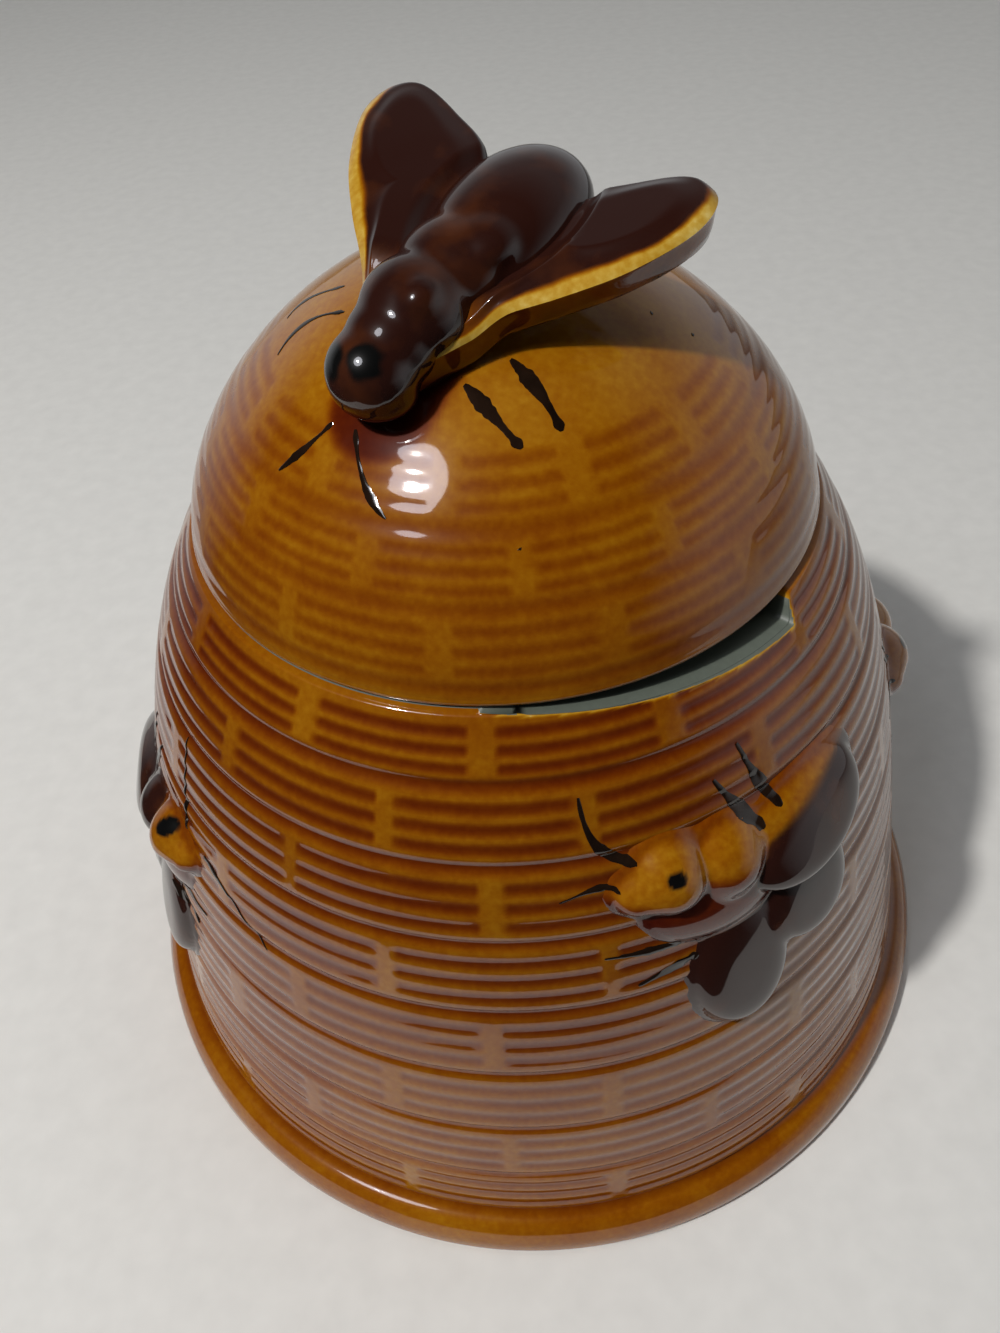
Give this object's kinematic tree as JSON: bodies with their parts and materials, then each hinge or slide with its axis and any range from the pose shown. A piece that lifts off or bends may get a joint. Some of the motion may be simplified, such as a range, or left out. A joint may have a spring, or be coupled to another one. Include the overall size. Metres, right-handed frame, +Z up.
{
  "type": "honey pot",
  "caption": "Glazed beehive honey pot with a lift-off domed lid, ribbed wall, relief bees and a bee for a handle.",
  "frame": {"origin": "centre of the flat base, on the surface the pot stands on", "axes": "+Z up along the pot's axis, -Y towards the front, where the whole relief bee is a little to the right"},
  "size_m": [0.114, 0.114, 0.1134],
  "materials": {
    "honey_glaze": "glossy translucent amber glaze",
    "bee_glaze": "glossy amber and brown glaze",
    "dark_glaze": "glossy dark red-brown glaze"
  },
  "bodies": {
    "pot": {"pot_body": "honey_glaze", "bee_front": "bee_glaze", "bee_left": "bee_glaze", "bee_right": "bee_glaze"},
    "lid": {"lid_shell": "honey_glaze", "finial_body": "dark_glaze", "finial_wing_left": "dark_glaze", "finial_wing_right": "dark_glaze"}
  },
  "joints": [
    {"name": "lid_lift", "type": "slide", "parent": "pot", "child": "lid", "axis": [0, 0, 1], "range_m": [0, 0.04]}
  ]
}
